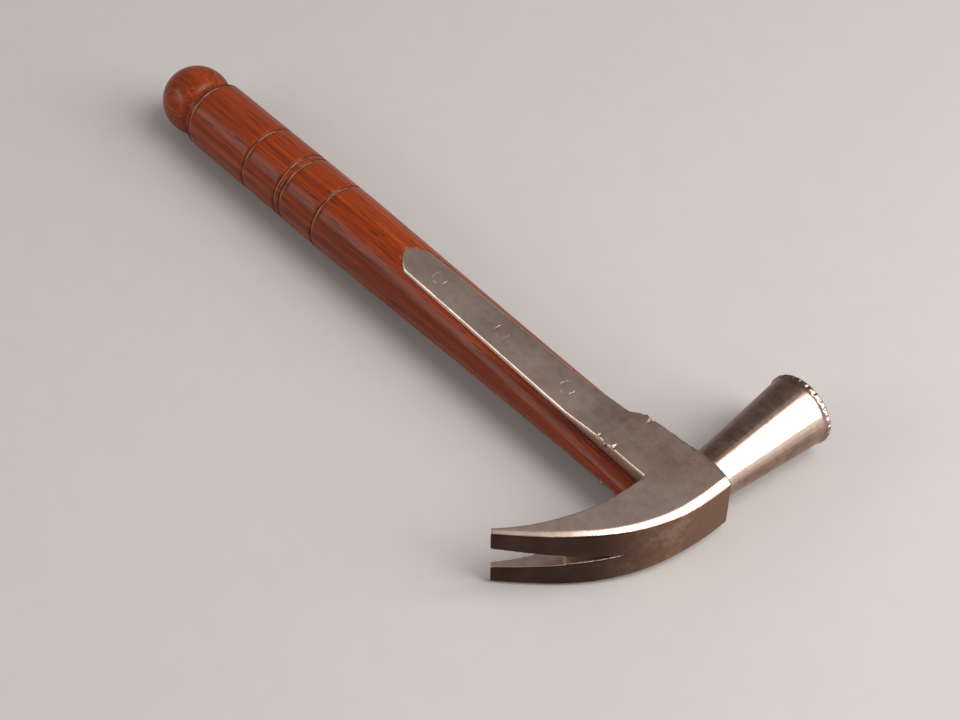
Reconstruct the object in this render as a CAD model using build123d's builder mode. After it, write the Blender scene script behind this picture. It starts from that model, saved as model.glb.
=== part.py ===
"""Small strapped claw hammer with a turned handle, lying on its side.

+X runs along the handle from the butt to the head, +Y points out of the striking
face, and +Z points up through the cheeks.  The origin is the middle of the plain
grip, on the handle's axis.  All sizes are in millimetres.
"""

import os

from build123d import *

# ---- handle: one piece of rosewood, turned round and then shaved oval to the head ----
grip_r = 11.4            # plain round grip
grip_length = 28.0       # between the bead and the first incised line
ball_r = 11.3            # ball end, no wider than the grip, so that a ring slides on
ball_set = 6.9           # ball centre to the bottom of the cove
cove_r = 9.3             # handle radius at the bottom of the cove
cove_width = 1.2         # bottom of the cove to the bead
bead_width = 2.0         # small bead at the end of the grip
bead_r = 10.9
bead_round = 0.5         # the bead's crown stands out this much from its two edges
line_depth = 0.45        # incised lines
line_width = 0.8
line_to_pair = 16.0      # first line to the pair of lines
pair_gap = 2.5           # between the two lines of the pair
pair_to_line = 15.8      # pair to the last line
round_run = 4.0          # the handle stays round for this far past the last line
nose_width = 21.8        # handle across Y at the head
nose_height = 9.8        # handle across Z at the head
waist_slim = 0.4         # narrower than a straight taper by this much each side
oval_power = 1.35        # how late the flattening comes: 1 is a straight taper
oval_steps = 6           # sections that the flattening is lofted through

# ---- head: one steel forging, body and claw ----
head_reach = 194.0       # middle of the grip to the axis of the poll
crown_height = 9.9       # axis of the poll to the outer edge of the head
throat_set = 7.2         # axis of the poll to the face that the handle butts on
cheek_width = 18.6       # across the flat cheeks
cheek_reach = 10.2       # handle axis to the side that the poll grows from
cheek_bulge = 0.7        # that side stands out this much in the middle
corner_drop = 0.7        # and falls back this much at the outer corner
claw_width = 22.0        # across the claw, from where it has spread to its tips
spread_start = 6.0       # handle axis to where the cheeks start to spread, along -Y
spread_end = 33.0        # and to where they stop
claw_drop = 51.3         # handle axis to the claw's tips, along -Y
claw_set = 19.6          # axis of the poll back to the claw's outer tip
claw_thickness = 1.8     # of the claw at its tips
claw_lean = 43.0         # degrees that the claw leans back at its tips
claw_straight = 6.0      # the throat runs on this far before the claw curves
bend_start = 4.0         # handle axis to the start of the outer bend, along +Y
bend_drop = 25.7         # a place on the outer bend, along -Y
bend_height = 2.4        # and its distance outside the axis of the poll
edge_flat = 2.6          # broad bevel along the outer edge at the crown, measured on the cheek
edge_tip_flat = 1.2      # and at the claw's tips
edge_slope = 0.4         # how steeply it falls
edge_steps = 14          # sections that the bevel is lofted through
slot_width = 8.0         # nail slot at the tips
slot_length = 38.0       # tips to the crotch, along the outer edge
slot_step_at = 20.0      # tips to the shoulder where the slot closes in
slot_step = 0.35         # by this much each side

# ---- head: the poll, round and flared ----
poll_reach = 49.7        # handle axis to the striking face
flare_r = 10.7           # just behind the lip
lip_r = 11.2
lip_width = 1.6          # along the axis
lip_rise = 0.8           # run of the step up to the lip
face_bevel = 0.5
notch_count = 26         # file cuts round the lip
notch_r = 0.45

# ---- head: the two straps, let into the handle ----
strap_length = 107.5     # throat to the point of the strap
strap_point = 6.0        # length of the pointed end
strap_bow = 0.9          # the point's two sides bow out this much
strap_tip_width = 11.2
strap_edge = 0.5         # bevel along the strap's outer edges
strap_root_width = 13.2
strap_tip_seat = 7.4     # handle axis to the underside of the strap, at the point
strap_root_seat = 4.2    # and at the throat
strap_mid_height = 9.2   # handle axis to the strap's crown, half way along
strap_mid_crown = 13.4   # half width of the oval that the crown follows there
strap_low_height = 8.5   # handle axis to the crown at its lowest
strap_low_crown = 14.4   # half width of the oval there
strap_low_at = 34.0      # throat to that lowest place
strap_high_at = 17.0     # throat to where the strap has risen to the cheek
shoulder_reach = 16.5    # throat to the shoulder beside the poll
shoulder_blend = 3.0     # half the length of the shoulder's curve
shoulder_drop = 0.9      # the shoulder is this much lower than the cheek
bead_at = 15.6           # throat to the small bead on each edge of the strap
edge_bead_r = 0.8       # radius of that bead
bead_sink = 0.4          # its middle is this far inside the edge
nick_pitch = 5.8         # between the two file nicks, one each side of a bead
nick_width = 1.7
nick_depth = 0.9
nick_length = 3.4

# ---- rivets through both straps and the handle ----
rivet_names = ["rivet_front", "rivet_middle", "rivet_back"]
rivet_r = 1.5
rivet_head_r = 2.3
rivet_land = 0.4         # seat to the start of the countersink
rivet_first = 37.0       # throat to the first rivet
rivet_pitch = 27.0

# ---- fits ----
inlet_gap = 0.05         # wood to steel, all round the straps and at the throat
neck_gap = 0.1           # the poll's neck stays this far in front of the handle's end
rivet_gap = 0.03         # rivet to its hole

# ---- places worked out from the sizes above ----
throat_x = head_reach - throat_set
strap_tip_x = throat_x - strap_length
bead_end_x = -grip_length / 2
cove_end_x = bead_end_x - bead_width
cove_x = cove_end_x - cove_width
ball_x = cove_x - ball_set
first_line_x = grip_length / 2
pair_x = first_line_x + line_to_pair
last_line_x = pair_x + pair_gap + pair_to_line
line_places = [bead_end_x, first_line_x, pair_x, pair_x + pair_gap, last_line_x]
oval_x = last_line_x + round_run
nose_x = throat_x - inlet_gap
neck_r = throat_set - neck_gap
cheek_half = cheek_width / 2
claw_half = claw_width / 2
root_half = strap_root_width / 2
tip_half = strap_tip_width / 2
slot_half = slot_width / 2
slot_step_half = slot_half * (slot_length - slot_step_at) / slot_length
shoulder_y = cheek_reach - shoulder_drop
past_head = crown_height + cheek_width
seat_fall = strap_tip_seat - strap_root_seat
rivet_reaches = [rivet_first + rivet_pitch * number for number in range(len(rivet_names))]

head_plane = Plane(origin=(head_reach, 0, 0))
poll_axis = Axis((head_reach, 0, 0), (0, 1, 0))
face_plane = Plane(origin=(head_reach, poll_reach, 0), x_dir=(1, 0, 0), z_dir=(0, 1, 0))
strap_slope = Vector(strap_length, 0, -seat_fall)
seat_plane = Plane(
    origin=(throat_x, 0, strap_root_seat),
    x_dir=strap_slope,
    z_dir=strap_slope.cross(Vector(0, 1, 0)),
)
claw_back = Vector(-1, 0, 0).rotate(Axis.Z, claw_lean)
claw_out = claw_back.rotate(Axis.Z, 90)
outer_tip = Vector(-claw_set, -claw_drop, 0)
inner_tip = outer_tip - claw_out * claw_thickness
crotch_way = (Vector(bend_height, -bend_drop, 0) - outer_tip).normalized()
slot_plane = Plane(
    origin=(head_reach - claw_set, -claw_drop, 0),
    x_dir=crotch_way,
    z_dir=crotch_way.cross(Vector(0, 0, 1)),
)
bend_line = Spline(
    outer_tip,
    (bend_height, -bend_drop),
    (crown_height, bend_start),
    tangents=[claw_back * -1, (0, 1)],
)


def wood_half(x):
    """Half the handle's width and half its height at a place: round before the oval stretch."""
    run = max(0, (x - oval_x) / (nose_x - oval_x))
    half_width = grip_r + (nose_width / 2 - grip_r) * run - 4 * waist_slim * run * (1 - run)
    half_height = grip_r + (nose_height / 2 - grip_r) * run**oval_power
    return half_width, half_height


def cheek_at(y):
    """Half the thickness of the head between its cheeks, at a place along Y."""
    spread = min(1, max(0, (-y - spread_start) / (spread_end - spread_start)))
    return cheek_half + (claw_half - cheek_half) * spread


def strap_block(gap):
    """A strap-shaped block standing on its sloping seat, grown by a gap."""
    point = strap_point - strap_length
    bow_x = point - strap_point / 2
    bow_y = tip_half / 2 + strap_bow
    with BuildPart() as block:
        with BuildSketch(seat_plane.offset(-gap)):
            with BuildLine():
                Polyline((0, cheek_reach), (0, -root_half), (point, -tip_half))
                ThreePointArc((point, -tip_half), (bow_x, -bow_y), (-strap_length, 0))
                ThreePointArc((-strap_length, 0), (bow_x, bow_y), (point, tip_half))
                Polyline(
                    (point, tip_half),
                    (-shoulder_reach - shoulder_blend, root_half),
                    (-shoulder_reach, shoulder_y - shoulder_drop),
                    (shoulder_blend - shoulder_reach, shoulder_y),
                    (0, cheek_reach),
                )
            make_face()
            if gap:
                offset(amount=gap, kind=Kind.INTERSECTION)
        extrude(amount=cheek_width)
    return block.part


def rivet_block(reach, gap):
    """A rivet along Z with a countersunk head at each end, grown by a gap."""
    seat = strap_root_seat + seat_fall * reach / strap_length
    cone_start = seat + rivet_land
    cone_end = cone_start + rivet_head_r - rivet_r
    rivet_x = throat_x - reach
    with BuildPart() as block:
        with BuildSketch(Plane(origin=(rivet_x, 0, 0), x_dir=(1, 0, 0), z_dir=(0, -1, 0))):
            with BuildLine():
                Polyline(
                    (0, 0),
                    (rivet_r + gap, 0),
                    (rivet_r + gap, cone_start),
                    (rivet_head_r + gap, cone_end),
                    (rivet_head_r + gap, past_head),
                    (0, past_head),
                    (0, 0),
                )
            make_face()
        revolve(axis=Axis((rivet_x, 0, 0), (0, 0, 1)))
        mirror(about=Plane.XY)
    return block.part


rivet_holes = [rivet_block(reach, rivet_gap) for reach in rivet_reaches]

# ---- the straps' outside: flush with the wood at the point, crowned across ----
strap_sections = [
    (strap_length + strap_point, *wood_half(strap_tip_x - strap_point)),
    (strap_length / 2, strap_mid_crown, strap_mid_height),
    (strap_low_at, strap_low_crown, strap_low_height),
    (0, strap_low_crown, strap_low_height),
]
with BuildPart() as strap_skin:
    for reach, half_width, half_height in strap_sections:
        with BuildSketch(Plane.YZ.offset(throat_x - reach)):
            Ellipse(half_width, half_height)
    loft()

with BuildPart() as strap:
    add(strap_block(0))
    add(strap_skin.part, mode=Mode.INTERSECT)
    crown = strap.faces().sort_by(Axis.Z)[-1]
    crown_edges = crown.edges().sort_by(Axis.X)[:-1]
    chamfer(crown_edges, strap_edge)

# Near the head the strap thickens up to the level of the cheek.
with BuildPart() as strap_root:
    with BuildSketch(Plane.XZ):
        with BuildLine():
            Polyline(
                (throat_x - strap_low_at, 0),
                (throat_x - strap_low_at, strap_low_height - shoulder_drop),
                (throat_x - strap_high_at, cheek_half),
                (throat_x, cheek_half),
                (throat_x, 0),
                (throat_x - strap_low_at, 0),
            )
        make_face()
    extrude(amount=past_head, both=True)
    add(strap_block(0), mode=Mode.INTERSECT)
    claw_side = strap_root.faces().sort_by(Axis.Y)[0]
    chamfer(claw_side.edges().sort_by(Axis.Z)[-2:], strap_edge)

# ---- the space between the two flat cheeks, a little wider along the claw ----
with BuildPart() as cheek_space:
    with BuildSketch(Plane.YZ.offset(strap_tip_x - strap_point)):
        with BuildLine():
            Polyline(
                (-claw_drop, claw_half),
                (-spread_end, claw_half),
                (-spread_start, cheek_half),
                (poll_reach, cheek_half),
                (poll_reach, -cheek_half),
                (-spread_start, -cheek_half),
                (-spread_end, -claw_half),
                (-claw_drop, -claw_half),
                (-claw_drop, claw_half),
            )
        make_face()
    extrude(amount=head_reach - strap_tip_x + past_head)

# ---- the broad bevel along the outer edge, running out towards the tips ----
edge_sections = [(bend_line @ 0 + claw_back * edge_flat, bend_line % 0, edge_tip_flat)]
for step in range(edge_steps + 1):
    run = step / edge_steps
    flat = edge_tip_flat + (edge_flat - edge_tip_flat) * run
    edge_sections.append((bend_line @ run, bend_line % run, flat))
crown_run = cheek_reach + edge_flat - bend_start
for run in (0.5, 1):
    place = Vector(crown_height, bend_start + crown_run * run, 0)
    edge_sections.append((place, bend_line % 1, edge_flat))
with BuildPart() as edge_cut:
    for place, along, flat in edge_sections:
        top = cheek_at(place.Y)
        low = top - edge_slope * (flat + edge_flat)
        origin = Vector(head_reach, 0, 0) + place
        with BuildSketch(Plane(origin=origin, x_dir=along.cross(Vector(0, 0, 1)), z_dir=along * -1)):
            with BuildLine():
                Polyline(
                    (-flat, top),
                    (edge_flat, low),
                    (edge_flat, top + edge_flat),
                    (-flat, top + edge_flat),
                    (-flat, top),
                )
            make_face()
    loft()
    mirror(about=Plane.XY)

# ---- body and claw ----
with BuildPart() as body:
    with BuildSketch(head_plane.offset(-claw_half)):
        with BuildLine():
            Line((crown_height, bend_start), (crown_height, cheek_reach - corner_drop))
            ThreePointArc(
                (crown_height, cheek_reach - corner_drop),
                (0, cheek_reach + cheek_bulge),
                (-throat_set, cheek_reach),
            )
            Line((-throat_set, cheek_reach), (-throat_set, -root_half - claw_straight))
            TangentArc((-throat_set, -root_half - claw_straight), inner_tip, tangent=(0, -1))
            Line(inner_tip, outer_tip)
            add(bend_line)
        make_face()
    extrude(amount=claw_width)
    add(cheek_space.part, mode=Mode.INTERSECT)
    add(edge_cut.part, mode=Mode.SUBTRACT)
    with BuildSketch(slot_plane.offset(-past_head)):
        with BuildLine():
            Polyline(
                (-slot_width, slot_half),
                (0, slot_half),
                (slot_step_at, slot_step_half),
                (slot_step_at, slot_step_half - slot_step),
                (slot_length, 0),
                (slot_step_at, slot_step - slot_step_half),
                (slot_step_at, -slot_step_half),
                (0, -slot_half),
                (-slot_width, -slot_half),
                (-slot_width, slot_half),
            )
        make_face()
    extrude(amount=past_head * 2, mode=Mode.SUBTRACT)

# ---- poll ----
with BuildPart() as poll:
    with BuildSketch(head_plane):
        with BuildLine():
            Polyline(
                (0, cheek_reach),
                (neck_r, cheek_reach),
                (flare_r, poll_reach - lip_width - lip_rise),
                (lip_r, poll_reach - lip_width),
                (lip_r, poll_reach - face_bevel),
                (lip_r - face_bevel, poll_reach),
                (0, poll_reach),
                (0, cheek_reach),
            )
        make_face()
    revolve(axis=poll_axis)
    with BuildSketch(face_plane):
        with PolarLocations(lip_r, notch_count):
            Circle(notch_r)
    extrude(amount=-lip_width, mode=Mode.SUBTRACT)

# ---- file nicks each side of the beads, sloping up and inwards ----
nick_places = [
    (bead_at - nick_pitch / 2, -root_half, 1),
    (bead_at + nick_pitch / 2, -root_half, 1),
    (bead_at - nick_pitch / 2, shoulder_y, -1),
]
with BuildPart() as nicks:
    for reach, edge_y, inwards in nick_places:
        run = Vector(0, nick_length * inwards, nick_depth)
        start = Vector(throat_x - reach, edge_y, cheek_half - nick_depth) - run / 2
        open_side = -2 * nick_depth * inwards
        with BuildSketch(Plane(origin=start, x_dir=(1, 0, 0), z_dir=run)):
            with BuildLine():
                Polyline((0, 0), (nick_width, open_side), (-nick_width, open_side), (0, 0))
            make_face()
        extrude(amount=2 * nick_length)

# ---- head: one solid ----
with BuildPart() as head:
    add(strap.part)
    add(strap_root.part)
    add(nicks.part, mode=Mode.SUBTRACT)
    with Locations(
        (throat_x - bead_at, bead_sink - root_half, cheek_half - edge_bead_r),
        (throat_x - bead_at + edge_bead_r, shoulder_y - bead_sink, cheek_half - edge_bead_r),
    ):
        Sphere(edge_bead_r)
    mirror(about=Plane.XY)
    add(body.part)
    add(poll.part)
    add(rivet_holes, mode=Mode.SUBTRACT)

# ---- handle ----
with BuildPart() as inlets:
    add(strap_block(inlet_gap))
    mirror(about=Plane.XY)

with BuildPart() as handle:
    with BuildSketch(Plane.XY):
        with BuildLine():
            Line((ball_x - ball_r, 0), (oval_x, 0))
            CenterArc((ball_x, 0), ball_r, 180, -90)
            Spline(
                (ball_x, ball_r),
                (cove_x, cove_r),
                (cove_end_x, bead_r - bead_round),
                tangents=[(1, 0), (1, 2)],
            )
            ThreePointArc(
                (cove_end_x, bead_r - bead_round),
                (cove_end_x + bead_width / 2, bead_r),
                (bead_end_x, bead_r - bead_round),
            )
            Polyline(
                (bead_end_x, bead_r - bead_round),
                (bead_end_x, grip_r),
                (oval_x, grip_r),
                (oval_x, 0),
            )
        make_face()
    revolve(axis=Axis.X)
    for step in range(oval_steps + 1):
        section_x = oval_x + (nose_x - oval_x) * step / oval_steps
        with BuildSketch(Plane.YZ.offset(section_x)):
            Ellipse(*wood_half(section_x))
    loft()
    with BuildSketch(Plane.XY):
        for line_x in line_places:
            with BuildLine():
                Polyline(
                    (line_x - line_width / 2, grip_r + line_depth),
                    (line_x, grip_r - line_depth),
                    (line_x + line_width / 2, grip_r + line_depth),
                    (line_x - line_width / 2, grip_r + line_depth),
                )
            make_face()
    revolve(axis=Axis.X, mode=Mode.SUBTRACT)
    add(inlets.part, mode=Mode.SUBTRACT)
    add(rivet_holes, mode=Mode.SUBTRACT)

os.makedirs("parts", exist_ok=True)
head.part.label = "head"
export_step(head.part, "parts/head.step")
handle.part.label = "handle"
export_step(handle.part, "parts/handle.step")

# ---- rivets, filed flush with the straps ----
for name, reach in zip(rivet_names, rivet_reaches):
    with BuildPart() as rivet:
        add(rivet_block(reach, 0))
        add(strap_skin.part, mode=Mode.INTERSECT)
    rivet.part.label = name
    export_step(rivet.part, f"parts/{name}.step")
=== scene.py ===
"""Looks of a small strapped claw hammer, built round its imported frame.

The handle is turned afresh in mesh code, the head is cleaned and its edges are worn
soft, and every piece gets its own procedural finish.  Laid out as an add-on, run as
a script.  Lengths are in metres in the frame of the hammer: +X towards the head, +Y
out of the striking face, +Z up through the cheeks.
"""

import math

import bmesh
import bpy
from bpy.props import FloatProperty, FloatVectorProperty, IntProperty, PointerProperty
from bpy.types import Operator, Panel, PropertyGroup
from mathutils import Matrix, Vector, noise


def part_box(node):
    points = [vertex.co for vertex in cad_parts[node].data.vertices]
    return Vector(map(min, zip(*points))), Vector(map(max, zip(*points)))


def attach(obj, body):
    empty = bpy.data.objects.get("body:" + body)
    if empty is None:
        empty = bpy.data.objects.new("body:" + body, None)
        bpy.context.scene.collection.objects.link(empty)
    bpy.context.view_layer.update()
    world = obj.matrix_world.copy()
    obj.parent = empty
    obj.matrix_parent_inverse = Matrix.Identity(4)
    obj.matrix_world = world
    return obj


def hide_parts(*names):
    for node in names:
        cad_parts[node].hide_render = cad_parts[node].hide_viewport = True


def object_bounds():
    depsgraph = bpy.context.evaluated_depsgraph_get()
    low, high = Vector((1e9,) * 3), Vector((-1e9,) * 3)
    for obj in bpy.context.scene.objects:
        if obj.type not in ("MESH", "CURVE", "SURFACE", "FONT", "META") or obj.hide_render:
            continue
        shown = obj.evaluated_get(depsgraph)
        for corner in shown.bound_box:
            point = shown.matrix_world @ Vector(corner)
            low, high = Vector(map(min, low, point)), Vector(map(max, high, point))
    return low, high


bl_info = {
    "name": "Strapped Hammer",
    "version": (1, 0, 0),
    "blender": (4, 5, 0),
    "location": "View3D > Sidebar > Hammer",
    "description": "Turned handle, forged head and their finishes, with a small studio",
    "category": "Object",
}

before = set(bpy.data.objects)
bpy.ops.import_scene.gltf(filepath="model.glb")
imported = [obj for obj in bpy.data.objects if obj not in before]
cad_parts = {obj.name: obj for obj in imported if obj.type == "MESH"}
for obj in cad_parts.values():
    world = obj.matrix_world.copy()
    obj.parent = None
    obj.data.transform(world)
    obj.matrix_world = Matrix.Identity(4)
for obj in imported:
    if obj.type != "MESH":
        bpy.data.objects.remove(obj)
CAD_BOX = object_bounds()
MM = 0.001
RIVETS = sorted(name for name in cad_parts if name.startswith("rivet"))
HANDLE_LOW, HANDLE_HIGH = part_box("handle")

# The handle.  Lists of plain numbers are in millimetres.
BALL_ARC = 119                # degrees of the ball's outline, from the butt into the cove
BALL_STEPS = 34
BEAD_WIDTH = 2.0 * MM
COVE = [(-2.4, 9.55), (-2.0, 9.25), (-1.5, 9.05), (-1.0, 9.05), (-0.5, 9.3), (-0.1, 9.8)]
BEAD = [(0.0, 10.3), (0.3, 10.65), (0.7, 10.85), (1.1, 10.85), (1.5, 10.6)]
LINE_PLACES = [-14.0, 14.0, 30.0, 32.5, 48.3]   # bead's edge, first line, pair, last line
LINE_HALF = 0.42 * MM         # half the width of an incised line
CHIP_REACH = 0.5 * MM         # a line's ragged edge, from its middle
CHIP_DEPTH = 0.16 * MM
RING_STEP = 1.6 * MM          # between the rings of corners along a plain stretch
LONG_RUN = 6 * MM             # a stretch longer than this gets such rings
OVAL_START = 52.3 * MM
OVAL_POWER = 1.35
NOSE_HALF = Vector((10.9, 4.9)) * MM
WAIST = 1.6 * MM
WOOD_SHARP = math.radians(40)

# The straps' beds in the wood.
END_GAP = 0.05 * MM           # end of the handle to the head
INLET_FIT = 0.08 * MM
SEAT_ROOT, SEAT_TIP = 4.2 * MM, 7.4 * MM
STRAP_LENGTH = 107.5 * MM
BEYOND_WOOD = 30 * MM
STRAP_OUTLINE = [
    (5.0, 14.0),
    (5.0, -6.6),
    (-101.5, -5.6),
    (-104.5, -3.7),
    (-107.25, 0.0),
    (-104.5, 3.7),
    (-101.5, 5.6),
    (-19.5, 6.6),
    (-16.5, 8.4),
    (-13.5, 9.3),
    (-13.5, 14.0),
]

# The rivets and the head.
RIVET_FIT = 0.002 * MM        # round a rivet in its hole
FILL_FIT = 0.08 * MM          # a rivet grown by this fills its hole for the remesh
RIVET_HEADS = 8.15 * MM       # only the rivets' two ends lie further out than this
SMOOTH_STEPS = 4
KEPT_FACES = 0.45             # share of the remeshed faces that is kept
STEEL_SHARP = math.radians(50)

# The studio.
FLOOR_HALF = 3.0
TARGET = Vector((0.12, -0.006, 0))
WARM = (1.0, 0.965, 0.93)
KEY = {"towards": (0.62, 0.40, 0.67), "distance": 0.95, "size": (0.72, 1.25)}
FILL = {"towards": (-0.48, -0.74, 0.47), "distance": 1.0, "size": (0.75, 0.36)}
CAMERA_PLACE = (0.41266, -0.27012, 0.44444)
CAMERA_RIGHT = (0.666, 0.746, 0.004)
CAMERA_UP = (-0.560, 0.497, 0.663)
CAMERA_BACK = (0.492, -0.444, 0.748)


# ---- sizes and colours that a user would change ----


class HandleSizes(PropertyGroup):
    """The turned shape of the handle."""

    ball_radius: FloatProperty(
        name="Ball radius", description="Radius of the ball end", default=11.3 * MM, unit="LENGTH"
    )
    grip_radius: FloatProperty(
        name="Grip radius", description="Radius of the round grip", default=11.4 * MM, unit="LENGTH"
    )
    line_depth: FloatProperty(
        name="Line depth",
        description="Depth of the incised lines",
        default=0.42 * MM,
        unit="LENGTH",
    )
    wobble: FloatProperty(
        name="Hand work",
        description="How uneven the turned surface is",
        default=0.05 * MM,
        unit="LENGTH",
    )
    sides: IntProperty(
        name="Sides", description="Steps of the turning round the axis", default=144, min=24
    )


class HeadSizes(PropertyGroup):
    """Wear of the forged head."""

    edge_radius: FloatProperty(
        name="Edge wear",
        description="How far the edges are worn round",
        default=0.28 * MM,
        unit="LENGTH",
    )
    dent_depth: FloatProperty(
        name="Dents", description="How deep the surface is dented", default=0.05 * MM, unit="LENGTH"
    )


class Finishes(PropertyGroup):
    """Colours of the steel and the wood."""

    steel: FloatVectorProperty(
        name="Steel", description="Bare polished steel", default=(0.82, 0.67, 0.59), subtype="COLOR"
    )
    patina: FloatVectorProperty(
        name="Patina",
        description="Brown tarnish on the steel",
        default=(0.22, 0.115, 0.07),
        subtype="COLOR",
    )
    wood: FloatVectorProperty(
        name="Rosewood",
        description="Middle colour of the wood",
        default=(0.245, 0.031, 0.0035),
        subtype="COLOR",
    )
    wood_light: FloatVectorProperty(
        name="Light grain",
        description="Light streaks of the wood",
        default=(0.42, 0.078, 0.010),
        subtype="COLOR",
    )
    wood_dark: FloatVectorProperty(
        name="Dark grain",
        description="Dark streaks of the wood",
        default=(0.065, 0.008, 0.0025),
        subtype="COLOR",
    )
    scored: FloatVectorProperty(
        name="Scored wood",
        description="Bare wood in the incised lines",
        default=(0.50, 0.27, 0.14),
        subtype="COLOR",
    )


class StudioSettings(PropertyGroup):
    """Floor, lights and camera."""

    floor_colour: FloatVectorProperty(
        name="Floor",
        description="Colour of the floor",
        default=(0.50, 0.48, 0.465),
        subtype="COLOR",
    )
    key_power: FloatProperty(
        name="Key light", description="Power of the large soft light", default=15.0, unit="POWER"
    )
    fill_power: FloatProperty(
        name="Fill light",
        description="Power of the light on the other side",
        default=2.6,
        unit="POWER",
    )
    sky: FloatProperty(name="Sky", description="Strength of the even surrounding light", default=0.32)
    lens: FloatProperty(
        name="Lens", description="Focal length of the camera", default=77.3, unit="CAMERA"
    )


# ---- shader maths ----


class Wire:
    """A shader socket that adds up like a number: each sum adds its Math node."""

    def __init__(self, tree, socket):
        self.tree = tree
        self.socket = socket

    def node(self, kind, output=0, settings=None, **sockets):
        """Adds a node with its settings, then its sockets' values or links, and gives one output."""
        made = self.tree.nodes.new(kind)
        for name, value in (settings or {}).items():
            setattr(made, name, value)
        for name, value in sockets.items():
            key = int(name[1:]) if name[1:].isdigit() else name.replace("_", " ")
            plug(self.tree, made.inputs[key], value)
        return Wire(self.tree, made.outputs[output])

    def maths(self, operation, *values):
        sockets = {f"s{number}": value for number, value in enumerate(values)}
        return self.node("ShaderNodeMath", settings={"operation": operation}, **sockets)

    def __add__(self, other):
        return self.maths("ADD", self, other)

    def __sub__(self, other):
        return self.maths("SUBTRACT", self, other)

    def __rsub__(self, other):
        return self.maths("SUBTRACT", other, self)

    def __mul__(self, other):
        return self.maths("MULTIPLY", self, other)

    __radd__ = __add__
    __rmul__ = __mul__

    def band(self, start, end, low=0.0, high=1.0):
        """Runs smoothly from low to high as this value goes from start to end."""
        settings = {"interpolation_type": "SMOOTHSTEP"}
        return self.node(
            "ShaderNodeMapRange", settings=settings, s0=self, s1=start, s2=end, s3=low, s4=high
        )


def plug(tree, socket, value):
    """Gives a socket a link or a plain value."""
    if isinstance(value, Wire):
        tree.links.new(value.socket, socket)
    elif socket.type == "RGBA" and len(value) == 3:
        socket.default_value = (*value, 1.0)
    else:
        socket.default_value = value


class Finish:
    """A material with its shader and the patterns that finishes share."""

    def __init__(self, name):
        self.material = bpy.data.materials.new(name)
        self.material.use_nodes = True
        self.tree = self.material.node_tree
        self.shader = self.tree.nodes["Principled BSDF"]
        self.start = Wire(self.tree, None)
        coordinates = self.tree.nodes.new("ShaderNodeTexCoord")
        self.place = Wire(self.tree, coordinates.outputs["Object"])
        self.facing = Wire(self.tree, coordinates.outputs["Normal"])
        self.x, self.y, _ = self.split(self.place)

    def split(self, vector):
        node = self.tree.nodes.new("ShaderNodeSeparateXYZ")
        self.tree.links.new(vector.socket, node.inputs[0])
        return [Wire(self.tree, output) for output in node.outputs]

    def join(self, *parts):
        return self.start.node("ShaderNodeCombineXYZ", X=parts[0], Y=parts[1], Z=parts[2])

    def scaled(self, scale):
        """The place on the piece, stretched for a pattern."""
        return self.start.node("ShaderNodeMapping", Vector=self.place, Scale=scale)

    def noise(self, vector, scale, detail, roughness=0.55):
        return self.start.node(
            "ShaderNodeTexNoise", Vector=vector, Scale=scale, Detail=detail, Roughness=roughness
        )

    def attribute(self, name):
        settings = {"attribute_name": name}
        return self.start.node("ShaderNodeAttribute", output="Fac", settings=settings)

    def mix(self, factor, low, high):
        settings = {"data_type": "RGBA"}
        return self.start.node("ShaderNodeMix", output=2, settings=settings, s0=factor, s6=low, s7=high)

    def bump(self, height, distance, strength):
        return self.start.node("ShaderNodeBump", Height=height, Distance=distance, Strength=strength)

    def set(self, **sockets):
        for name, value in sockets.items():
            plug(self.tree, self.shader.inputs[name.replace("_", " ")], value)
        return self.material


# ---- mesh helpers ----


def new_piece(name, bm, material, slot=None):
    """Makes an object of a finished bmesh, at the origin; given a slot, it rides on the hammer's one
    body.
    """
    bmesh.ops.recalc_face_normals(bm, faces=bm.faces)
    mesh = bpy.data.meshes.new(name)
    bm.to_mesh(mesh)
    bm.free()
    return finish_piece(name, mesh, material, slot)


def finish_piece(name, mesh, material, slot=None):
    """Links a mesh as a piece with its material and smooth shading."""
    mesh.materials.clear()
    mesh.materials.append(material)
    for face in mesh.polygons:
        face.use_smooth = True
    piece = bpy.data.objects.new(name, mesh)
    bpy.context.scene.collection.objects.link(piece)
    if slot:
        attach(piece, "root")
    return piece


def node_bmesh(*names):
    """The meshes of CAD nodes as one bmesh, with their doubled corners merged."""
    bm = bmesh.new()
    for name in names:
        bm.from_mesh(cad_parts[name].data)
    bmesh.ops.remove_doubles(bm, verts=bm.verts, dist=0.001 * MM)
    return bm


def plain_object(name, bm):
    """A passing object that a modifier works on or cuts with."""
    mesh = bpy.data.meshes.new(name)
    bm.to_mesh(mesh)
    bm.free()
    made = bpy.data.objects.new(name, mesh)
    bpy.context.scene.collection.objects.link(made)
    return made


def settle(worked):
    """Applies an object's modifiers, removes the object and gives the mesh that is left."""
    graph = bpy.context.evaluated_depsgraph_get()
    mesh = bpy.data.meshes.new_from_object(worked.evaluated_get(graph))
    bpy.data.objects.remove(worked)
    return mesh


def cut(worked, cutter, operation="DIFFERENCE"):
    """Adds a cut by another object to the modifiers of the worked one."""
    modifier = worked.modifiers.new("Cut", "BOOLEAN")
    modifier.operation = operation
    modifier.solver = "MANIFOLD"
    modifier.object = cutter


def rivet_shape(fit, past, *names):
    """Rivets made wider by a fit and longer at both ends, for filling holes, boring or filing."""
    bm = node_bmesh(*names)
    bm.normal_update()
    for corner in bm.verts:
        corner.co += Vector((corner.normal.x, corner.normal.y, 0)) * fit
        if abs(corner.co.z) > RIVET_HEADS:
            corner.co.z += math.copysign(past, corner.co.z)
    return plain_object("rivet_shape", bm)


# ---- the handle ----


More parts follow.
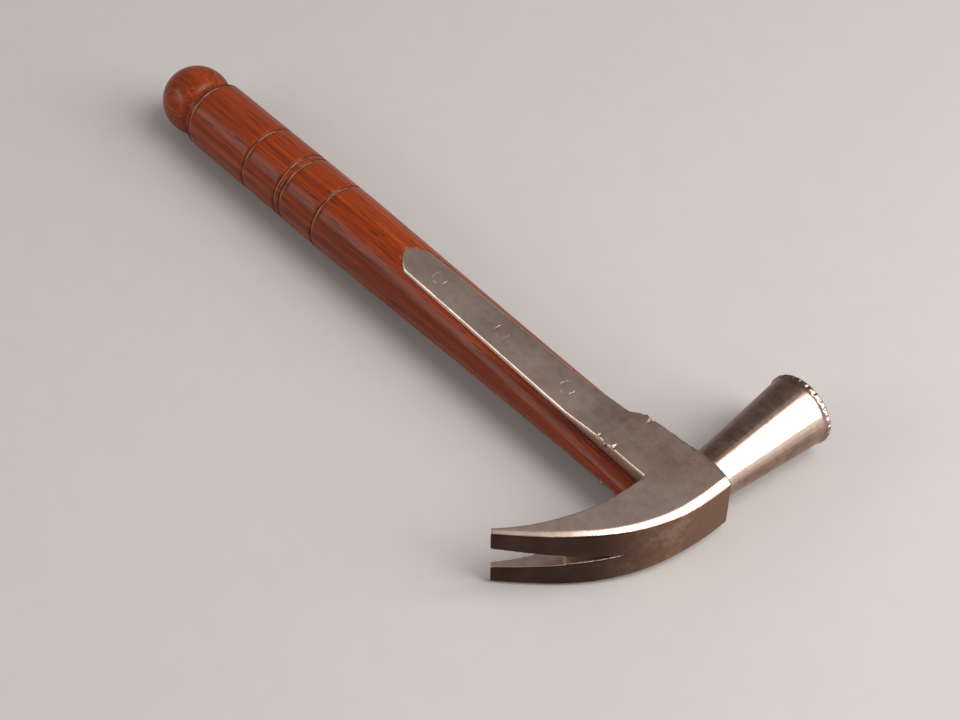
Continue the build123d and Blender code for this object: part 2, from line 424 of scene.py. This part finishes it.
def wood_half(place, grip):
    """Half the handle's width and height along its oval stretch."""
    run = max(0.0, (place - OVAL_START) / (HANDLE_HIGH.x - OVAL_START))
    half_width = grip + (NOSE_HALF.x - grip) * run - WAIST * run * (1 - run)
    half_height = grip + (NOSE_HALF.y - grip) * run**OVAL_POWER
    return half_width, half_height


def handle_profile(bm, sizes):
    """Draws the half outline of the turned handle, from the butt to the nose."""
    ball = Vector((HANDLE_LOW.x + sizes.ball_radius, 0, 0))
    butt = bm.verts.new((HANDLE_LOW.x, 0, 0))
    arc = math.radians(BALL_ARC)
    bmesh.ops.spin(bm, geom=[butt], cent=ball, axis=(0, 0, -1), angle=arc, steps=BALL_STEPS)
    last = max(bm.verts, key=lambda corner: corner.co.x)
    cove_end = LINE_PLACES[0] * MM - BEAD_WIDTH
    for along, radius in COVE + BEAD:
        last = step_to(bm, last, cove_end + along * MM, radius * MM)
    low = sizes.grip_radius - sizes.line_depth
    for place in LINE_PLACES:
        middle = place * MM
        last = step_to(bm, last, middle - LINE_HALF, sizes.grip_radius)
        last = step_to(bm, last, middle - LINE_HALF / 3, low)
        last = step_to(bm, last, middle + LINE_HALF / 3, low)
        last = step_to(bm, last, middle + LINE_HALF, sizes.grip_radius)
    last = step_to(bm, last, HANDLE_HIGH.x, sizes.grip_radius)
    step_to(bm, last, HANDLE_HIGH.x, 0.0)
    long_runs = [edge for edge in bm.edges if edge.calc_length() > LONG_RUN and edge.verts[1].co.y > 0]
    for edge in long_runs:
        cuts = int(edge.calc_length() / RING_STEP)
        bmesh.ops.subdivide_edges(bm, edges=[edge], cuts=cuts)


def step_to(bm, last, place, radius):
    """Adds the next corner of an outline."""
    corner = bm.verts.new((place, radius, 0))
    bm.edges.new((last, corner))
    return corner


def shape_wood(bm, sizes):
    """Shaves the nose oval and leaves the surface as uneven as hand work."""
    for corner in bm.verts:
        radius = math.hypot(corner.co.y, corner.co.z)
        if radius < MM:
            continue
        half_width, half_height = wood_half(corner.co.x, sizes.grip_radius)
        wave = noise.noise(corner.co * 45) * 0.5 + noise.noise(corner.co * 170) * 0.25
        chip = 0.0
        for place in LINE_PLACES:
            away = abs(corner.co.x - place * MM)
            if away < CHIP_REACH:
                chip = CHIP_DEPTH * max(0.0, noise.noise(corner.co * 1100) + 0.15)
        inwards = 1 - (sizes.wobble * (0.75 + wave) + chip) / radius
        corner.co.y *= half_width / sizes.grip_radius * inwards
        corner.co.z *= half_height / sizes.grip_radius * inwards


def inlet_cutter():
    """The two long blocks that cut the straps' beds into the wood."""
    throat = HANDLE_HIGH.x + END_GAP
    bm = bmesh.new()
    for side in (1, -1):
        rim = [bm.verts.new((throat + x * MM, y * MM, 0)) for x, y in STRAP_OUTLINE]
        floor = bm.faces.new(rim)
        walls = bmesh.ops.extrude_face_region(bm, geom=[floor])["geom"]
        raised = [corner for corner in walls if isinstance(corner, bmesh.types.BMVert)]
        for corner in rim + raised:
            run = (throat - corner.co.x) / STRAP_LENGTH
            seat = SEAT_ROOT + (SEAT_TIP - SEAT_ROOT) * run - INLET_FIT
            corner.co.z = side * (seat if corner in rim else BEYOND_WOOD)
    bmesh.ops.recalc_face_normals(bm, faces=bm.faces)
    bm.normal_update()
    for corner in bm.verts:
        sideways = Vector((corner.normal.x, corner.normal.y, 0))
        corner.co += sideways * INLET_FIT
    return plain_object("inlet_cutter", bm)


class HAMMER_OT_handle(Operator):
    """Turn the handle, shave its nose oval and cut the straps' beds"""

    bl_idname = "hammer.handle"
    bl_label = "Rosewood handle"

    def execute(self, context):
        sizes = context.scene.hammer_handle
        bm = bmesh.new()
        handle_profile(bm, sizes)
        bmesh.ops.spin(
            bm,
            geom=bm.verts[:] + bm.edges[:],
            cent=(0, 0, 0),
            axis=(1, 0, 0),
            angle=math.tau,
            steps=sizes.sides,
            use_merge=True,
        )
        bmesh.ops.remove_doubles(bm, verts=bm.verts, dist=0.01 * MM)
        shape_wood(bm, sizes)
        bmesh.ops.recalc_face_normals(bm, faces=bm.faces)
        turned = plain_object("turned", bm)
        cutters = [inlet_cutter(), rivet_shape(RIVET_FIT, MM, *RIVETS)]
        for cutter in cutters:
            cut(turned, cutter)
        mesh = settle(turned)
        for cutter in cutters:
            bpy.data.objects.remove(cutter)
        wood = rosewood(context.scene.hammer_finishes)
        piece = finish_piece("turned_handle", mesh, wood, "rosewood")
        mesh.set_sharp_from_angle(angle=WOOD_SHARP)
        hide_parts("handle")
        return {"FINISHED"}


# ---- the head ----


def wear_surface(mesh, dent_depth):
    """Stores how sharply the surface bends outwards as an attribute, then dents it."""
    bm = bmesh.new()
    bm.from_mesh(mesh)
    bm.normal_update()
    wear = bm.verts.layers.float.new("wear")
    sunk = []
    for corner in bm.verts:
        bend = 0.0
        for edge in corner.link_edges:
            away = edge.other_vert(corner).co - corner.co
            bend -= corner.normal.dot(away) / max(away.length, 1e-9)
        corner[wear] = bend / max(len(corner.link_edges), 1)
        dent = 0.5 + 0.35 * noise.noise(corner.co * 110) + 0.15 * noise.noise(corner.co * 420)
        sunk.append(corner.co - corner.normal * dent_depth * dent)
    for corner, place in zip(bm.verts, sunk):
        corner.co = place
    bm.to_mesh(mesh)
    bm.free()


class HAMMER_OT_head(Operator):
    """Wear the edges of the forged head soft, bore it and file the rivets flush"""

    bl_idname = "hammer.head"
    bl_label = "Forged head and rivets"

    def execute(self, context):
        sizes = context.scene.hammer_head
        steel = forged_steel(context.scene.hammer_finishes)
        forging = plain_object("forging", node_bmesh("head"))
        filler = rivet_shape(FILL_FIT, 0.0, *RIVETS)
        cut(forging, filler, "UNION")
        remesh = forging.modifiers.new("Even mesh", "REMESH")
        remesh.mode = "VOXEL"
        remesh.voxel_size = sizes.edge_radius
        soft = forging.modifiers.new("Worn edges", "SMOOTH")
        soft.factor = 0.5
        soft.iterations = SMOOTH_STEPS
        thin = forging.modifiers.new("Fewer faces", "DECIMATE")
        thin.ratio = KEPT_FACES
        mesh = settle(forging)
        bpy.data.objects.remove(filler)
        wear_surface(mesh, sizes.dent_depth)
        bored = bpy.data.objects.new("bored", mesh)
        context.scene.collection.objects.link(bored)
        for name in RIVETS:
            filed = bored.copy()
            context.scene.collection.objects.link(filed)
            blank = rivet_shape(0.0, MM, name)
            cut(filed, blank, "INTERSECT")
            filed_mesh = settle(filed)
            bpy.data.objects.remove(blank)
            rivet = finish_piece(f"filed_{name}", filed_mesh, steel, "rivet_steel")
            filed_mesh.set_sharp_from_angle(angle=STEEL_SHARP)
            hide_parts(name)
        holes = rivet_shape(RIVET_FIT, MM, *RIVETS)
        cut(bored, holes)
        mesh = settle(bored)
        bpy.data.objects.remove(holes)
        piece = finish_piece("forged_head", mesh, steel, "forged_steel")
        mesh.set_sharp_from_angle(angle=STEEL_SHARP)
        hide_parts("head")
        return {"FINISHED"}


# ---- finishes ----


def rosewood(colours):
    """Close-grained red-brown wood under worn shellac, bare in the incised lines, with painted shade
    along one side of each line.
    """
    f = Finish("rosewood")
    sway = f.noise(f.scaled((14, 60, 60)), 1.0, detail=2)
    grain_place = f.start.node(
        "ShaderNodeVectorMath",
        settings={"operation": "MULTIPLY_ADD"},
        s0=f.join(0.0, sway, sway),
        s1=(0.0, 0.0016, 0.0012),
        s2=f.place,
    )

    def grain(stretch, across, detail, roughness=0.6):
        place = f.start.node(
            "ShaderNodeVectorMath",
            settings={"operation": "MULTIPLY"},
            s0=grain_place,
            s1=(stretch, across, across),
        )
        return f.noise(place, 1.0, detail=detail, roughness=roughness)

    figure = grain(3.5, 170, 4)
    streaks = grain(8, 560, 5, 0.65)
    fibres = grain(26, 2300, 3)
    pores = grain(75, 2700, 1).band(0.60, 0.70)
    dark = figure.band(0.42, 0.66) * 0.62 + streaks.band(0.50, 0.70) * 0.42
    light = streaks.band(0.47, 0.30) * 0.55 + fibres.band(0.48, 0.30) * 0.35
    body = f.mix(dark, colours.wood, colours.wood_dark)
    body = f.mix(light, body, colours.wood_light)
    body = f.mix(fibres.band(0.5, 0.7) * 0.45, body, colours.wood_dark)
    body = f.mix(pores * 0.7, body, (0.012, 0.003, 0.002))
    lines = groove_shade = None
    for place in LINE_PLACES:
        away = f.start.maths("ABSOLUTE", f.x - (place + 0.16) * MM)
        mark = away.band(0.00046, 0.00022)
        # Painted shade: a near-black line along one side of each incised line, on the groove's shaded
        # wall.
        low = f.start.maths("ABSOLUTE", f.x - (place - 0.25) * MM).band(0.00030, 0.00012)
        lines = mark if lines is None else f.start.maths("MAXIMUM", lines, mark)
        groove_shade = low if groove_shade is None else f.start.maths("MAXIMUM", groove_shade, low)
    ragged = f.noise(f.scaled((900, 330, 330)), 1.0, detail=3).band(0.40, 0.58)
    scored = lines * (0.25 + ragged * 0.75)
    # The painted shade in the grooves.
    body = f.mix(groove_shade * 0.75, body, (0.022, 0.006, 0.003))
    body = f.mix(scored, body, colours.scored)
    rough = 0.30 + streaks * 0.16 + scored * 0.35 + pores * 0.25
    height = fibres * 0.4 + streaks * 0.5 - pores * 1.2
    f.set(
        Base_Color=body,
        Roughness=rough,
        Normal=f.bump(height, 0.06 * MM, 0.35),
        Coat_Weight=0.17 - scored * 0.17,
        Coat_Roughness=0.2,
        Specular_IOR_Level=0.17,
    )
    return f.material


def forged_steel(colours):
    """Old polished forging: brown-grey, with painted shade that is darkest outside the claw and also
    lies on the poll's far side and underside; bright along worn edges.
    """
    f = Finish("forged_steel")
    cloud = f.noise(f.place, 70.0, detail=5, roughness=0.55)
    blotch = f.noise(f.place, 330.0, detail=5, roughness=0.6)
    along = f.noise(f.scaled((45, 900, 900)), 1.0, detail=4)
    grain = f.noise(f.scaled((260, 3400, 3400)), 1.0, detail=3)
    pits = f.noise(f.place, 1500.0, detail=2).band(0.68, 0.76)
    specks = f.noise(f.place, 620.0, detail=2).band(0.64, 0.72)
    normal_x, _, normal_z = f.split(f.facing)
    body = f.y.band(0.0125, 0.0085)
    # Painted shade: on the body, faces turned towards +X, the claw's outer face, get more patina and,
    # along the claw, a near-black brown.
    outwards = normal_x.band(0.40, 0.60) * body
    along_claw = f.y.band(-0.008, -0.034)
    poll = 1 - body
    # Painted shade: faces of the poll turned away from +X, and faces turned downwards, are darkened by
    # their facing.
    far_side = normal_x.band(0.36, 0.0) * poll
    under = normal_z.band(0.50, 0.15) * poll
    scuff = f.noise(f.place, 800.0, detail=3).band(0.3, 0.6, 0.5, 1.0)
    worn = f.attribute("wear").band(0.12, 0.34) * scuff
    patina_and_shade = 0.26 + cloud.band(0.3, 0.7) * 0.22 + blotch.band(0.4, 0.65) * 0.10
    patina_and_shade = patina_and_shade + along.band(0.42, 0.62) * 0.05 + specks * 0.10
    # Facing masks add painted shade to the patina here: the claw's outer face, the poll's far side and
    # its underside.
    patina_and_shade = patina_and_shade + outwards * 0.52 + far_side * 0.3 + under * 0.4
    patina_and_shade = patina_and_shade + body * f.y.band(-0.012, 0.006) * 0.22 - f.x.band(0.178, 0.150) * 0.12
    patina_and_shade = patina_and_shade * (1 - worn * 0.8)
    tint = f.mix(patina_and_shade, colours.steel, colours.patina)
    # Painted shade: a near-black brown laid on the claw's outer face and the poll's far side.
    dark = outwards * along_claw * (0.80 + cloud * 0.3) + far_side * (0.25 + blotch * 0.45)
    tint = f.mix(dark, tint, (0.036, 0.017, 0.010))
    tint = f.mix(pits * 0.5 + grain.band(0.55, 0.75) * 0.12, tint, (0.05, 0.03, 0.02))
    rough = 0.25 + patina_and_shade * 0.10 + grain * 0.06 + pits * 0.2
    height = grain * 0.3 - pits * 0.7 + blotch * 0.35 + cloud * 0.5 + along * 0.3
    f.set(Base_Color=tint, Metallic=1.0, Roughness=rough, Normal=f.bump(height, 0.04 * MM, 0.22))
    return f.material


# ---- the studio ----


def area_light(name, power, towards, distance, size):
    """A soft rectangular light that faces the hammer from a direction."""
    data = bpy.data.lights.new(name, "AREA")
    data.shape = "RECTANGLE"
    data.size, data.size_y = size
    data.energy = power
    data.color = WARM
    lamp = bpy.data.objects.new(name, data)
    way = Vector(towards).normalized()
    lamp.location = TARGET + way * distance
    lamp.rotation_euler = way.to_track_quat("Z", "Y").to_euler()
    bpy.context.scene.collection.objects.link(lamp)


class HAMMER_OT_studio(Operator):
    """Lay the pale floor, hang the lights and stand the camera"""

    bl_idname = "hammer.studio"
    bl_label = "Studio"

    def execute(self, context):
        settings = context.scene.hammer_studio
        bm = bmesh.new()
        bmesh.ops.create_grid(bm, x_segments=1, y_segments=1, size=FLOOR_HALF)
        bmesh.ops.translate(bm, vec=(0, 0, CAD_BOX[0].z), verts=bm.verts)
        floor = Finish("pale_floor")
        speck = floor.noise(floor.place, 140.0, detail=5)
        tone = floor.mix(speck.band(0.35, 0.65) * 0.12, settings.floor_colour, (0.44, 0.42, 0.41))
        floor.set(Base_Color=tone, Roughness=0.62, Specular_IOR_Level=0.3)
        new_piece("floor", bm, floor.material)
        world = bpy.data.worlds.new("sky")
        world.use_nodes = True
        sky = world.node_tree.nodes["Background"]
        sky.inputs["Color"].default_value = (0.95, 0.93, 0.92, 1)
        sky.inputs["Strength"].default_value = settings.sky
        context.scene.world = world
        area_light("key", settings.key_power, **KEY)
        area_light("fill", settings.fill_power, **FILL)
        data = bpy.data.cameras.new("camera")
        data.sensor_width = 36
        data.lens = settings.lens
        data.clip_start = 0.01
        camera = bpy.data.objects.new("camera", data)
        turn = Matrix((CAMERA_RIGHT, CAMERA_UP, CAMERA_BACK)).transposed()
        camera.rotation_mode = "QUATERNION"
        camera.rotation_quaternion = turn.to_quaternion()
        camera.location = CAMERA_PLACE
        context.scene.collection.objects.link(camera)
        context.scene.camera = camera
        context.scene.view_settings.view_transform = "Standard"
        return {"FINISHED"}


class HAMMER_PT_sidebar(Panel):
    """Lists the sizes, the colours and the steps"""

    bl_idname = "HAMMER_PT_sidebar"
    bl_label = "Strapped Hammer"
    bl_space_type = "VIEW_3D"
    bl_region_type = "UI"
    bl_category = "Hammer"

    def draw(self, context):
        for name in SETTINGS:
            box = self.layout.box()
            group = getattr(context.scene, name)
            for key in group.bl_rna.properties.keys()[2:]:
                box.prop(group, key)
        for step in STEPS:
            self.layout.operator(step.bl_idname)


SETTINGS = {
    "hammer_handle": HandleSizes,
    "hammer_head": HeadSizes,
    "hammer_finishes": Finishes,
    "hammer_studio": StudioSettings,
}
STEPS = [HAMMER_OT_handle, HAMMER_OT_head, HAMMER_OT_studio]


def register():
    for group in SETTINGS.values():
        bpy.utils.register_class(group)
    for kind in [*STEPS, HAMMER_PT_sidebar]:
        bpy.utils.register_class(kind)
    for name, group in SETTINGS.items():
        setattr(bpy.types.Scene, name, PointerProperty(type=group))


def unregister():
    for name in SETTINGS:
        delattr(bpy.types.Scene, name)
    for kind in [HAMMER_PT_sidebar, *reversed(STEPS), *reversed(SETTINGS.values())]:
        bpy.utils.unregister_class(kind)


def main():
    register()
    bpy.ops.hammer.handle()
    bpy.ops.hammer.head()
    bpy.ops.hammer.studio()


if __name__ == "__main__":
    main()
